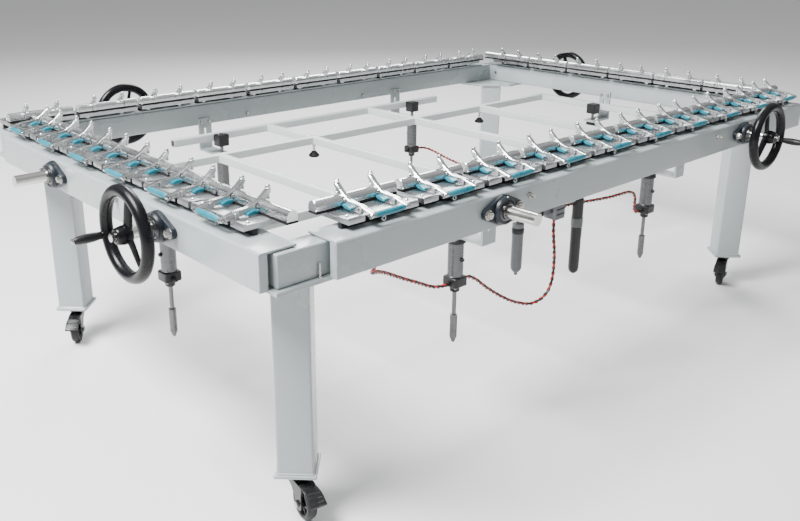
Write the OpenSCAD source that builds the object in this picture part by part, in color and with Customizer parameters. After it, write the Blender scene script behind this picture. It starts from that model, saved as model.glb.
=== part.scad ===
/* [Machine] */
// Outside length over the faces of the two short side beams
frame_l = 2830; // [2780:10:2900]
// Outside width over the faces of the two long side beams
frame_w = 1810; // [1790:10:1860]
// Height of the underside of the fixed frame above the floor
frame_z = 748; // [700:1:780]
// Width of the fixed frame's tubes
rail_w = 68; // [60:1:68]
// Height of the fixed frame's tubes
rail_h = 85; // [80:1:85]

/* [Side beams] */
// Thickness of a sliding side beam
beam_t = 25; // [22:1:26]
// Height of a sliding side beam
beam_h = 96; // [94:1:98]
// Gap from the corner to the short end of a side beam
short_gap = 180; // [170:1:200]
// Gap from the corner to the other end of a side beam
end_gap = 54; // [40:1:60]
// How far a side beam can be wound outwards
stretch = 60; // [40:1:60]

/* [Clamps] */
// Spacing of the clamps along a long side
pitch_long = 256; // [250:1:256]
// Spacing of the clamps along a short side
pitch_short = 248; // [244:1:250]
// Clamps on a long side
clamps_long = 10; // [8:1:10]
// Clamps on a short side
clamps_short = 6; // [4:1:6]
// Width of one clamp
clamp_w = 236; // [200:1:240]
// Spacing of the two arms of a clamp
arm_spacing = 112; // [100:1:120]
// Width of a clamp arm
arm_t = 14; // [10:1:16]

/* [Screws and handwheels] */
// Diameter of the guide rods and of the screws in their bearings
shaft_d = 35; // [30:1:35]
// Diameter of the screw thread
screw_d = 28; // [24:1:28]
// Radius of the handwheel rim to the middle of its section
wheel_r = 113; // [100:1:113]
// Thickness of the handwheel rim
rim_d = 34; // [18:1:34]
// Diameter of the crank grip
grip_d = 26; // [22:1:28]

/* [Legs and castors] */
// Side of the square leg tubes
leg_s = 100; // [90:1:110]
// Distance of the leg centres from the outer faces
leg_inset = 190; // [185:1:200]
// Total height of a castor
castor_h = 135; // [130:1:140]
// Diameter of a castor wheel
castor_d = 100; // [90:1:104]
// Width of a castor wheel
castor_w = 32; // [28:1:34]

/* [Lift] */
// Height of the top of the lifting lattice at rest
lattice_z = 728; // [720:1:735]
// Side of the lattice's square tubes
lattice_t = 30; // [25:1:32]
// Stroke of the lift
lift_stroke = 75; // [50:1:75]
// Outside diameter of the lift cylinders
barrel_d = 50; // [46:1:52]

/* [Hoses] */
// Outside diameter of a twisted pair of air hoses
pair_d = 12; // [10:1:12]

/* [Hidden] */
$fn = 48;

// Colours
paint = [0.80, 0.82, 0.81];
bare_aluminium = [0.78, 0.79, 0.80];
dark_cast = [0.18, 0.21, 0.25];
black = [0.08, 0.08, 0.09];
chrome_steel = [0.86, 0.86, 0.85];
teal = [0.10, 0.47, 0.56];

// Depths across a side, measured inwards from the outer face of its beam
plate_edge = 27;
rail_out = 39;
rail_in = rail_out + rail_w;
wall = 4;
beam_wall = 3;
beam_r = 8;
top_t = 6;

// Heights
beam_z = frame_z - 3;
beam_top = beam_z + beam_h;
rail_top = frame_z + rail_h;
shaft_z = beam_z + 50;
leg_plate_t = 12;
foot_plate_t = 10;
leg_z = castor_h + foot_plate_t;
leg_top = frame_z - leg_plate_t;

// Clamp section: depths and heights
roller_d = 15.6;
base_z = beam_top + 16;
base_t = 14;
base_out = 34;
jaw_out = 114;
jaw_w = 32;
base_in = jaw_out + jaw_w + 1;
rubber_t = 5;
jaw_z = base_z + base_t + rubber_t + 0.4;
jaw_h = 28;
grip_v = 14;
grip_z = base_z + base_t + 3;
lever_grip_d = 16;
pivot_v = 52;
pivot_z = base_z + base_t + 10;
elbow_v = 118;
elbow_z = pivot_z + 10;
neck_v = 136;
neck_z = pivot_z + 25;
bolt_v = 150;
bolt_z = pivot_z + 42;
pin_d = 8;
row_shift = [100, 5];
nose_extra = [33, 63];
roller_x = 70;
link_d = 10;

// Places along the sides: long sides first, short sides second
screw_x = [frame_l / 2 - 601, frame_w / 2 - 494];
rod_x = [767 - frame_l / 2, 642 - frame_w / 2];
adjuster_x = [[-521, 603], [160]];
bearing_bolts = 130;
bearing_t = 34;
rod_out = 130;
hub_out = 128;
rim_out = 98;
crank_angle = [-14, 194, -14, 194];
stud_d = 10;
crank_out = 200;

// Lift: x of the outer Y-bars, of the inner ones and y of the X-bars
lattice_x = [1243, 745, 295];
lattice_y = [705, 380];
short_bar = 765;
column_off = lattice_t / 2 + 23;
column_x = 560;
column_y = 30;
column_list = [[-column_x, -lattice_y[0] + column_off, 0], [column_x, -lattice_y[0] + column_off, 0],
    [column_x, lattice_y[0] - column_off, 180], [-column_x, lattice_y[0] - column_off, 180],
    [lattice_x[0] - column_off, column_y, 90], [-lattice_x[0] + column_off, -column_y, 270]];
rod_d = 14;
cap_w = 58;
arm_z = 640;
barrel_z = 500;
barrel_h = 112;
cap_low = 448;
rod_low = 368;
sleeve_low = 290;
tip_low = 271;
piston_t = 20;

// Castors: which way each one trails, in degrees
castor_turn = [260, 200, 110, 235];
trail = 38;
axle_z = castor_d / 2;

// Hose routes, in millimetres
left_route = [[-1050, -830, 736], [-1050, -830, 716], [-1046, -822, 697], [-1032, -803, 680],
    [-1004, -777, 664], [-962, -746, 645], [-910, -720, 620], [-855, -700, 590], [-800, -685, 560],
    [-750, -680, 535], [-710, -672, 514], [-675, -668, 496], [-648, -667, 486], [-622, -667, 480],
    [-604, -667, 480]];
front_route = [[-516, -667, 480], [-502, -667, 480], [-480, -667, 472], [-455, -670, 455],
    [-425, -670, 430], [-385, -670, 400], [-335, -675, 365], [-285, -680, 335], [-240, -685, 315],
    [-200, -690, 302], [-165, -700, 305], [-138, -712, 325], [-125, -720, 355], [-120, -725, 395],
    [-125, -730, 445], [-135, -735, 495], [-145, -735, 545], [-150, -735, 592], [-150, -735, 618]];
right_route = [[-124, -722, 638], [-104, -722, 638], [-60, -715, 636], [0, -710, 630],
    [70, -706, 621], [150, -705, 612], [230, -705, 605], [300, -705, 602], [360, -702, 598],
    [405, -698, 584], [432, -692, 560], [448, -684, 533], [462, -676, 508], [480, -670, 488],
    [500, -667, 480], [516, -667, 480]];
back_route = [[604, 667, 480], [620, 667, 480], [642, 660, 478], [659, 645, 473], [668, 620, 466],
    [671, 580, 456], [671, 515, 443], [670, 445, 433], [672, 375, 426], [684, 314, 421], [716, 268, 418],
    [770, 240, 416], [840, 224, 416], [915, 210, 418], [990, 196, 423], [1060, 179, 434],
    [1108, 163, 445], [1148, 147, 457], [1180, 128, 469], [1199, 108, 477], [1205, 90, 480],
    [1205, 74, 480]];

function half_of(k) = (k % 2 == 0 ? frame_l : frame_w) / 2;
function reach_of(k) = (k % 2 == 0 ? frame_w : frame_l) / 2;
function count_of(k) = k % 2 == 0 ? clamps_long : clamps_short;
function beam_start(k) = -half_of(k) + short_gap;
function beam_len(k) = 2 * half_of(k) - short_gap - end_gap;
function pitch_of(k) = k % 2 == 0 ? pitch_long : pitch_short;
// How far the nose bar nearest the open corner reaches past its clamp, at either end
function low_reach(k, i) = k % 2 == 0 && i == 0 ? nose_extra[0] : 0;
function high_reach(k, i) = k % 2 == 1 && i == count_of(k) - 1 ? nose_extra[1] : 0;
function clamp_x(k, i) = row_shift[k % 2] + (i - (count_of(k) - 1) / 2) * pitch_of(k);

// Puts a side drawn along X, with depth zero at its outer face, in its place
module on_side(k) {
    rotate([0, 0, 90 * k]) translate([0, -reach_of(k), 0]) children();
}

// Sweeps a section drawn as depth and height along a side
module along(x, length) {
    translate([x, 0, 0]) rotate([90, 0, 90]) linear_extrude(length) children();
}

// A round bar across a side, from one depth to another
module across(x, z, v0, v1, d, sides = 48) {
    translate([x, v0, z]) rotate([-90, 0, 0]) cylinder(h = v1 - v0, d = d, $fn = sides);
}

// A round bar along a side
module lengthways(x, v, z, length, d) {
    translate([x, v, z]) rotate([0, 90, 0]) cylinder(h = length, d = d);
}

// The outline of a link between two points of the section, with round ends
module link(a, b, d) {
    run = b - a;
    web = 0.93 * d;
    for (p = [a, b]) translate(p) circle(d = d);
    translate(a) rotate(atan2(run[1], run[0])) translate([0, -web / 2]) square([norm(run), web]);
}

// A closed square tube along X
module tube_x(x, y, z, length, w, h, t) {
    difference() {
        translate([x, y, z]) cube([length, w, h]);
        translate([x + t, y + t, z + t]) cube([length - 2 * t, w - 2 * t, h - 2 * t]);
    }
}

module rail_pair(k) {
    x = k == 0 ? half_of(k) - rail_out : half_of(k) - rail_in;
    color(paint) for (side = [k, k + 2]) on_side(side) difference() {
        tube_x(-x, rail_out, frame_z, 2 * x, rail_w, rail_h, wall);
        across(screw_x[k], shaft_z, rail_out - 1, rail_out + wall + 1, screw_d + 2);
        across(rod_x[k], shaft_z, rail_out - 1, rail_out + wall + 1, shaft_d + 0.2);
    }
}

module leg(k) {
    x = (k == 0 || k == 3 ? -1 : 1) * (frame_l / 2);
    y = (k < 2 ? -1 : 1) * (frame_w / 2);
    color(paint) translate([x, y, 0]) round_to_corner(k) {
        translate([leg_inset, leg_inset, 0]) rotate([0, 0, 45]) {
            difference() {
                translate([-leg_s / 2, -leg_s / 2, leg_z]) cube([leg_s, leg_s, leg_top - leg_z]);
                translate([-leg_s / 2 + 5, -leg_s / 2 + 5, leg_z + 5])
                    cube([leg_s - 10, leg_s - 10, leg_top - leg_z - 10]);
            }
            translate([-58, -58, castor_h]) cube([116, 116, foot_plate_t]);
        }
        translate([0, 0, leg_top]) linear_extrude(leg_plate_t) polygon([[plate_edge, plate_edge],
            [300, plate_edge], [300, 165], [165, 300], [plate_edge, 300]]);
    }
}

// Turns a corner drawn at the front left into corner k, going round to the right
module round_to_corner(k) {
    rotate([0, 0, 90 * k]) children();
}

module hex_bolt(d, length) {
    cylinder(h = length, d = d);
    cylinder(h = d * 0.65, d = d * 1.8, $fn = 6);
}

module frame_bolts() {
    color(chrome_steel) {
        for (k = [0:3]) on_side(k) {
            translate([-half_of(k) + 156, plate_edge + 6, frame_z]) hex_bolt(6, 38);
            for (x = [-half_of(k) + rail_in + 45, half_of(k) - rail_in - 45])
                across(x, frame_z + 45, rail_in, rail_in + 4, 14);
        }
        for (k = [0, 2], x = [-341, 341]) on_side(k)
            across(x, frame_z + 20, rail_in, rail_in + 8, 16, 6);
        for (c = column_list) column_at(c) for (x = [-18, 18])
            translate([x, bracket_back(c) + 8, frame_z + 14]) rotate([-90, 0, 0])
                cylinder(h = 8, d = 14, $fn = 6);
    }
}

module guide_rods() {
    color(chrome_steel) for (k = [0:3]) on_side(k)
        across(rod_x[k % 2], shaft_z, -rod_out, rail_in - wall, shaft_d);
}

module screw_nuts() {
    color([0.72, 0.55, 0.28]) for (k = [0:3]) on_side(k) difference() {
        across(screw_x[k % 2], shaft_z, beam_t + 3, rail_out, 58);
        across(screw_x[k % 2], shaft_z, beam_t, rail_out + 40, screw_d + 0.2);
    }
}

// Puts a lift column drawn at the origin, with the frame behind it on -Y
module column_at(c) {
    translate([c[0], c[1], 0]) rotate([0, 0, c[2]]) children();
}

// Depth of the frame's inner face behind a column
function bracket_back(c) = c[2] % 180 == 0
    ? -(frame_w / 2 - rail_in - abs(c[1])) : -(frame_l / 2 - rail_in - abs(c[0]));

module lift_brackets() {
    color(paint) for (c = column_list) column_at(c) {
        back = bracket_back(c);
        difference() {
            translate([-30, back, arm_z]) cube([60, 8, frame_z + 28 - arm_z]);
            translate([-6, back - 1, arm_z + 40]) cube([12, 10, 55]);
        }
        difference() {
            translate([-30, back + 8, arm_z]) cube([60, -back - 8 + 30, 8]);
            translate([0, 0, arm_z - 1]) cylinder(h = 10, d = rod_d + 6);
        }
    }
}

module lift_cylinders() {
    for (c = column_list) column_at(c) {
        color(black) difference() {
            union() {
                translate([-cap_w / 2, -cap_w / 2, cap_low + 20])
                    cube([cap_w, cap_w, barrel_z - cap_low - 20]);
                translate([0, 0, cap_low]) cylinder(h = 20, d = 32);
                for (s = [-1, 1])
                    translate([s * cap_w / 2, 0, 480]) rotate([0, 90 * s, 0]) cylinder(h = 15, d = 16);
            }
            translate([0, 0, cap_low - 1]) cylinder(h = barrel_z - cap_low + 2, d = rod_d + 0.2);
        }
        color([0.5, 0.5, 0.5]) difference() {
            translate([0, 0, barrel_z]) cylinder(h = barrel_h, d = barrel_d);
            translate([0, 0, barrel_z - 1]) cylinder(h = barrel_h + 2, d = barrel_d - 6);
        }
        color(black) difference() {
            union() {
                translate([0, 0, barrel_z + barrel_h])
                    cylinder(h = arm_z - barrel_z - barrel_h, d = barrel_d + 12);
                translate([0, -barrel_d / 2 - 8, barrel_z + 60]) rotate([-90, 0, 0])
                    cylinder(h = 8, d = 14);
            }
            translate([0, 0, barrel_z + barrel_h - 1]) cylinder(h = 40, d = rod_d + 0.2);
        }
    }
}

module air_unit() {
    color(dark_cast) {
        translate([-175, -760, 618]) cube([51, 50, 66]);
        translate([-345, -745, 640]) cube([170, 20, 20]);
        translate([-124, -752, 660]) cube([120, 20, 20]);
        translate([-175, -798, 684]) cube([51, 88, 8]);
        translate([-175, -798, 692]) cube([51, 8, 96]);
        translate([-342, -735, 480]) cylinder(h = 160, d = 38);
        translate([-342, -735, 464]) cylinder(h = 16, d1 = 12, d2 = 38);
    }
    color(black) {
        translate([-24, -742, 400]) cylinder(h = 260, d = 38);
        translate([-24, -742, 404]) sphere(d = 38);
        translate([-1050, -830, 736]) cylinder(h = 12, d = 18);
    }
}

// A hose along a route; side is a direction that the route never takes
module hose(route, side) {
    n = len(route);
    sides = 8;
    function along_at(i) = route[min(i + 1, n - 1)] - route[max(i - 1, 0)];
    function unit(v) = v / norm(v);
    rings = [for (i = [0:n - 1]) let(t = unit(along_at(i)), a = unit(cross(t, side)), b = cross(t, a))
        for (j = [0:sides - 1], q = 360 * j / sides) route[i] + pair_d / 2 * (a * cos(q) + b * sin(q))];
    walls = [for (i = [0:n - 2], j = [0:sides - 1])
        [i * sides + j, i * sides + (j + 1) % sides, (i + 1) * sides + (j + 1) % sides, (i + 1) * sides + j]];
    start = [for (j = [sides - 1:-1:0]) j];
    finish = [for (j = [0:sides - 1]) (n - 1) * sides + j];
    color([0.35, 0.08, 0.07]) polyhedron(points = rings, faces = concat(walls, [start, finish]));
}

// A crossbar of the lattice from one bar to the next, a hair short of both
module crossbar(x, y0, y1) {
    h = lattice_t;
    translate([x - h / 2, y0 + h / 2 + 0.1, lattice_z - h]) difference() {
        cube([h, y1 - y0 - h - 0.2, h]);
        translate([3, -1, 3]) cube([h - 6, y1 - y0, h - 6]);
    }
}

module lift_lattice() {
    h = lattice_t;
    outer = lattice_y[0];
    inner = lattice_y[1];
    color(paint) {
        for (y = lattice_y, s = [-1, 1]) {
            reach = y == outer ? short_bar : lattice_x[0] + h / 2;
            translate([-reach, s * y - h / 2, lattice_z - h]) difference() {
                cube([2 * reach, h, h]);
                translate([-1, 3, 3]) cube([2 * reach + 2, h - 6, h - 6]);
            }
        }
        for (x = lattice_x, s = [-1, 1]) crossbar(s * x, -inner, inner);
        for (s = [-1, 1]) {
            crossbar(s * lattice_x[2], inner, outer);
            crossbar(s * lattice_x[2], -outer, -inner);
        }
    }
}

module lift_rods() {
    color(chrome_steel) for (c = column_list) column_at(c) {
        translate([0, 0, rod_low]) cylinder(h = 690 - rod_low, d = rod_d);
        translate([0, 0, barrel_z + 5]) cylinder(h = piston_t, d = barrel_d - 6.3);
        translate([0, 0, sleeve_low]) cylinder(h = rod_low - sleeve_low, d = 24);
        translate([0, 0, tip_low]) cylinder(h = sleeve_low - tip_low, d1 = 10, d2 = 24);
    }
}

module lift_blocks() {
    color(black) for (c = column_list) column_at(c) difference() {
        translate([-24, -23, 680]) cube([48, 46, 48]);
        translate([0, 0, 679]) cylinder(h = 11, d = rod_d);
    }
}

module lift_feet() {
    under = lattice_z - lattice_t;
    color(black) for (s = [-1, 1], x = [lattice_x[1], -lattice_x[2]])
        translate([s * x, s * lattice_y[1], under - 56]) {
            cylinder(h = 56, d = 10);
            cylinder(h = 10, d = 44);
            translate([0, 0, 10]) cylinder(h = 14, d1 = 40, d2 = 18);
        }
}

// Puts a castor drawn at the origin, trailing towards +X, under leg k
module castor_at(k) {
    x = (k == 0 || k == 3 ? -1 : 1) * (frame_l / 2 - leg_inset);
    y = (k < 2 ? -1 : 1) * (frame_w / 2 - leg_inset);
    translate([x, y, 0]) rotate([0, 0, castor_turn[k]]) children();
}

module castor_fork(k) {
    cheek = 5;
    gap = castor_w / 2 + 1.5;
    color(black) castor_at(k) {
        translate([0, 0, castor_h - 12.3]) cylinder(h = 12, d = 74);
        translate([0, 0, castor_h - 24]) cylinder(h = 12, d = 56);
        translate([-28, -gap - cheek, castor_h - 29]) cube([trail + 46, 2 * (gap + cheek), 5]);
        for (s = [-1, 1]) translate([0, s * (gap + cheek / 2) - cheek / 2, 0]) {
            translate([-20, 0, castor_h - 44]) cube([trail + 34, cheek, 18]);
            translate([trail - 24, 0, axle_z]) cube([42, cheek, castor_h - 43 - axle_z]);
            translate([trail, 0, axle_z]) rotate([-90, 0, 0]) cylinder(h = cheek, d = 40);
        }
        translate([trail, -gap - cheek - 6, axle_z]) rotate([-90, 0, 0])
            cylinder(h = 2 * (gap + cheek + 6), d = 10);
        translate([trail + 16, -22, castor_h - 34]) cube([52, 44, 5]);
        translate([trail + 56, -26, castor_h - 44]) rotate([0, 30, 0]) cube([34, 52, 6]);
    }
}

module castor_wheel(k) {
    color([0.12, 0.12, 0.12]) castor_at(k) translate([trail, 0, axle_z]) rotate([90, 0, 0])
        rotate_extrude() {
            translate([5.1, -castor_w / 2]) square([15, castor_w]);
            translate([18, -castor_w / 4]) square([18, castor_w / 2]);
            translate([34, -castor_w / 2 + 1]) square([castor_d / 2 - 40, castor_w - 2]);
            translate([castor_d / 2 - 8, -castor_w / 2 + 5]) square([8, castor_w - 10]);
        }
}

// Section of a side beam: outer box with a round top edge, and the plate that rides on the frame
module beam_section(filled) {
    difference() {
        union() {
            translate([0, beam_z]) square([beam_t, beam_h - beam_r]);
            translate([beam_r, beam_top - beam_r]) circle(beam_r);
            translate([beam_r, beam_top - beam_r]) square([beam_t - beam_r, beam_r]);
        }
        if (!filled) translate([beam_wall, beam_z + beam_wall])
            square([beam_t - 2 * beam_wall, beam_h - 2 * beam_wall - 3]);
    }
    translate([beam_t, beam_top - top_t]) square([rail_in - beam_t, top_t]);
}

module side_beam(k) {
    start = beam_start(k);
    length = beam_len(k);
    n = count_of(k);
    color(paint) on_side(k) difference() {
        union() {
            along(start, beam_wall) beam_section(true);
            along(start + beam_wall, length - 2 * beam_wall) beam_section(false);
            along(start + length - beam_wall, beam_wall) beam_section(true);
            translate([clamp_x(k, 0) - clamp_w / 2, 60, beam_top])
                cube([(n - 1) * pitch_of(k) + clamp_w, 14, base_z - beam_top]);
            translate([start, rail_in - 24, rail_top + 0.5])
                cube([length, 14, beam_top - top_t - rail_top - 0.5]);
        }
        for (x = [screw_x[k % 2], rod_x[k % 2]]) across(x, shaft_z, -1, beam_t + 1, shaft_d + 5);
    }
    color(chrome_steel) on_side(k) for (x = adjuster_x[k % 2]) {
        across(x, shaft_z + 15, -10, 0, 18, 6);
        across(x, shaft_z + 15, -22, -10, 10);
    }
}

module clamp_bases(k) {
    color(bare_aluminium) on_side(k) for (i = [0:count_of(k) - 1]) {
        x = clamp_x(k, i);
        difference() {
            along(x - clamp_w / 2, clamp_w) difference() {
                translate([base_out, base_z]) square([base_in - base_out, base_t]);
                for (v = [76:8:108]) translate([v, base_z + base_t]) circle(2.5, $fn = 16);
            }
            for (s = [-1, 1]) translate([x + s * arm_spacing / 2 - arm_t / 2 - 1, base_out - 1, base_z - 1])
                cube([arm_t + 2, 31, base_t + 2]);
        }
        for (s = [-1, 1]) {
            for (e = [-1, 1])
                translate([x + s * arm_spacing / 2 + e * (arm_t / 2 + 4) - 2.5, pivot_v - 6, base_z + base_t])
                    cube([5, 12, 16]);
            lengthways(x + s * arm_spacing / 2 - arm_t / 2 - 8, pivot_v, pivot_z, arm_t + 16, pin_d);
            across(x + s * roller_x, base_z + 0.4 - roller_d / 2, 78, rail_in - 1, roller_d);
        }
        across(x, base_z + 0.4 - roller_d / 2, base_out + 2, 57, roller_d);
    }
    color([0.05, 0.05, 0.05]) on_side(k) for (i = [0:count_of(k) - 1])
        translate([clamp_x(k, i) - clamp_w / 2 - low_reach(k, i), jaw_out, base_z + base_t])
            cube([clamp_w + low_reach(k, i) + high_reach(k, i), jaw_w, rubber_t]);
}

module clamp_jaws(k) {
    round_z = jaw_z + jaw_h - jaw_w / 2;
    color([0.9, 0.9, 0.9]) on_side(k) for (i = [0:count_of(k) - 1])
        along(clamp_x(k, i) - clamp_w / 2 - low_reach(k, i), clamp_w + low_reach(k, i) + high_reach(k, i))
        intersection() {
            translate([jaw_out, jaw_z]) square([jaw_w, jaw_h]);
            union() {
                translate([jaw_out, jaw_z]) square([jaw_w, jaw_h - jaw_w / 2]);
                translate([jaw_out + jaw_w / 2, round_z]) circle(jaw_w / 2);
            }
        }
}

module clamp_levers(k) {
    on_side(k) for (i = [0:count_of(k) - 1]) {
        for (s = [-1, 1]) {
            x = clamp_x(k, i) + s * arm_spacing / 2;
            color(bare_aluminium) difference() {
                along(x - arm_t / 2, arm_t) {
                    link([grip_v, grip_z], [pivot_v, pivot_z], 14);
                    link([pivot_v, pivot_z], [elbow_v, elbow_z], 17);
                    link([elbow_v, elbow_z], [neck_v, neck_z], 20);
                    link([neck_v, neck_z], [bolt_v, bolt_z], 11);
                }
                lengthways(x - arm_t, pivot_v, pivot_z, 2 * arm_t, pin_d + 0.2);
            }
            color(chrome_steel) {
                translate([x, bolt_v, bolt_z - 22]) cylinder(h = 24, d = 8);
                translate([x, bolt_v, bolt_z + 3]) cylinder(h = 6, d = 14, $fn = 6);
                translate([x, bolt_v, bolt_z + 9]) sphere(d = 11);
            }
            color(teal) toggle(x - 10, [84, pivot_z - 3], [112, pivot_z]);
        }
        color(teal) lengthways(clamp_x(k, i) - arm_spacing / 2 + arm_t / 2, grip_v, grip_z,
            arm_spacing - arm_t, lever_grip_d);
    }
}

// The short toggle link beside an arm, between two points of the section
module toggle(x, a, b) {
    run = b - a;
    translate([x, a[0], a[1]]) rotate([atan2(run[1], run[0]) - 90, 0, 0])
        cylinder(h = norm(run), d = link_d);
}

// Two-bolt oval flange housing with its bearing insert, standing out from the beam's face
module flange_bearing(x) {
    big = 44;
    small = 17;
    reach = bearing_bolts / 2;
    a = asin((big - small) / reach);
    translate([x, 0, shaft_z]) rotate([90, 0, 0]) {
        color(dark_cast) difference() {
            union() {
                cylinder(h = 14, r = big);
                cylinder(h = 27, d = 78);
                for (s = [-1, 1]) {
                    translate([s * reach, 0, 0]) cylinder(h = 14, r = small);
                    linear_extrude(14) polygon([
                        [s * (big - 1) * sin(a), -(big - 1) * cos(a)],
                        [s * (reach + (small - 1) * sin(a)), -(small - 1) * cos(a)],
                        [s * (reach + (small - 1) * sin(a)), (small - 1) * cos(a)],
                        [s * (big - 1) * sin(a), (big - 1) * cos(a)]]);
                    translate([s * reach, 0, 0]) cylinder(h = 16.5, d = 26);
                    translate([s * reach, 0, 0]) cylinder(h = 25.5, d = 22, $fn = 6);
                }
            }
            translate([0, 0, -1]) cylinder(h = 50, d = shaft_d + 0.1);
        }
        color([0.6, 0.62, 0.65]) difference() {
            translate([0, 0, 20]) cylinder(h = bearing_t - 20, d = 48);
            translate([0, 0, 19]) cylinder(h = 50, d = shaft_d + 0.1);
        }
    }
}

module flange_bearings(k) {
    on_side(k) for (x = [screw_x[k % 2], rod_x[k % 2]]) flange_bearing(x);
}

module screw_shaft(k) {
    x = screw_x[k % 2];
    color(chrome_steel) on_side(k) {
        across(x, shaft_z, -88, beam_t, shaft_d);
        across(x, shaft_z, beam_t, rail_in - wall - 2, screw_d);
        across(x, shaft_z, -hub_out - 12, -88, 22);
    }
}

module handwheel(k) {
    x = screw_x[k % 2];
    a = crank_angle[k];
    color(black) on_side(k) translate([x, 0, shaft_z]) rotate([90, 0, 0]) {
        translate([0, 0, rim_out]) rotate([0, 0, a + 20]) rotate_extrude($fn = 64)
            translate([wheel_r, 0]) circle(rim_d / 2, $fn = 32);
        difference() {
            union() {
                translate([0, 0, 88.3]) cylinder(h = hub_out - 88.3, d = 52);
                for (s = [0:2]) rotate([0, 0, a + 120 * s]) translate([20, -10, rim_out - 8])
                    cube([wheel_r - 26, 20, 12]);
            }
            translate([0, 0, 80]) cylinder(h = 60, d = 22);
        }
        rotate([0, 0, a]) translate([wheel_r, 0, rim_out]) cylinder(h = crank_out - rim_out - 8, d = stud_d);
        rotate([0, 0, a]) translate([wheel_r, 0, crank_out - 10]) cylinder(h = 6, d = 18);
    }
}

module crank_grip(k) {
    a = crank_angle[k];
    color(black) on_side(k) translate([screw_x[k % 2], 0, shaft_z]) rotate([90, 0, 0])
        rotate([0, 0, a]) translate([wheel_r, 0, rim_out + rim_d / 2 + 1]) rotate_extrude()
            polygon([[stud_d / 2 + 0.1, 0], [9, 0], [grip_d / 2 - 1, 12], [grip_d / 2, 40],
                [grip_d / 2 - 1, 66], [10, 72], [stud_d / 2 + 0.1, 72]]);
}

rail_pair(0);  // frame_rails_long
rail_pair(1);  // frame_rails_short
leg(0);  // leg_front_left
leg(1);  // leg_front_right
leg(2);  // leg_back_right
leg(3);  // leg_back_left
frame_bolts();
guide_rods();
screw_nuts();
lift_brackets();
lift_cylinders();
air_unit();
hose(left_route, [0, 1, 0]);  // hose_left
hose(front_route, [0, 1, 0]);  // hose_front
hose(right_route, [0, 1, 0]);  // hose_right
hose(back_route, [0, 0, 1]);  // hose_back
lift_lattice();
lift_rods();
lift_blocks();
lift_feet();
castor_fork(0);  // castor_fork_front_left
castor_fork(1);  // castor_fork_front_right
castor_fork(2);  // castor_fork_back_right
castor_fork(3);  // castor_fork_back_left
castor_wheel(0);  // castor_wheel_front_left
castor_wheel(1);  // castor_wheel_front_right
castor_wheel(2);  // castor_wheel_back_right
castor_wheel(3);  // castor_wheel_back_left
side_beam(0);  // side_beam_front
side_beam(1);  // side_beam_right
side_beam(2);  // side_beam_back
side_beam(3);  // side_beam_left
clamp_bases(0);  // clamp_bases_front
clamp_bases(1);  // clamp_bases_right
clamp_bases(2);  // clamp_bases_back
clamp_bases(3);  // clamp_bases_left
clamp_jaws(0);  // clamp_jaws_front
clamp_jaws(1);  // clamp_jaws_right
clamp_jaws(2);  // clamp_jaws_back
clamp_jaws(3);  // clamp_jaws_left
clamp_levers(0);  // clamp_levers_front
clamp_levers(1);  // clamp_levers_right
clamp_levers(2);  // clamp_levers_back
clamp_levers(3);  // clamp_levers_left
flange_bearings(0);  // flange_bearings_front
flange_bearings(1);  // flange_bearings_right
flange_bearings(2);  // flange_bearings_back
flange_bearings(3);  // flange_bearings_left
screw_shaft(0);  // screw_shaft_front
screw_shaft(1);  // screw_shaft_right
screw_shaft(2);  // screw_shaft_back
screw_shaft(3);  // screw_shaft_left
handwheel(0);  // handwheel_front
handwheel(1);  // handwheel_right
handwheel(2);  // handwheel_back
handwheel(3);  // handwheel_left
crank_grip(0);  // crank_grip_front
crank_grip(1);  // crank_grip_right
crank_grip(2);  // crank_grip_back
crank_grip(3);  // crank_grip_left
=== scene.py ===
import bpy
import math
from math import sin, cos, pi, radians
from mathutils import Matrix, Vector


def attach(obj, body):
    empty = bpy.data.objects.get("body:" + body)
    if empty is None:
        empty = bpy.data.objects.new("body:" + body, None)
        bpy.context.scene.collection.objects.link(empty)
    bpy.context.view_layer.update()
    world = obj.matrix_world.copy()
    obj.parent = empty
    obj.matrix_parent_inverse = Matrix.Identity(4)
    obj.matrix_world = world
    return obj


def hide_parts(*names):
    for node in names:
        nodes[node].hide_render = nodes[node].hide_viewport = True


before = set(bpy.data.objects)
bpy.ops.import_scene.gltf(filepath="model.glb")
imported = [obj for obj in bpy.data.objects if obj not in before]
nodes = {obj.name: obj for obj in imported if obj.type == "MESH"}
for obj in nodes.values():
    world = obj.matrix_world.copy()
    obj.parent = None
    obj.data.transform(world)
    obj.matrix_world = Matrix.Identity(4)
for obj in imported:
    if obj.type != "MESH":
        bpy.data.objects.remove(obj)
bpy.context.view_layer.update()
MM = 0.001
SIDES = ["front", "right", "back", "left"]
CORNERS = ["front_left", "front_right", "back_right", "back_left"]

# Sizes in millimetres and angles in degrees, as in the CAD. Pairs are for the long and the short sides.
FRAME_L, FRAME_W = 2830.0, 1810.0
LEG_X, LEG_Y = FRAME_L / 2 - 190, FRAME_W / 2 - 190
RAIL_X, RAIL_Y = FRAME_L / 2 - 39, FRAME_W / 2 - 39  # the outer faces of the ring of rails
RAIL_WIDTH = 68
SHAFT_Z = 795.0
SCREW_X = [FRAME_L / 2 - 601, FRAME_W / 2 - 494]
ROD_X = [767 - FRAME_L / 2, 642 - FRAME_W / 2]
CRANK = [-14, 194, -14, 194]  # where the grip of each handwheel stands
WHEEL_R = 113.0
RIM_OUT = 98.0
CASTOR_TURN = [260, 200, 110, 235]
TRAIL = 38.0  # from the pivot of a castor to its axle
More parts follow.
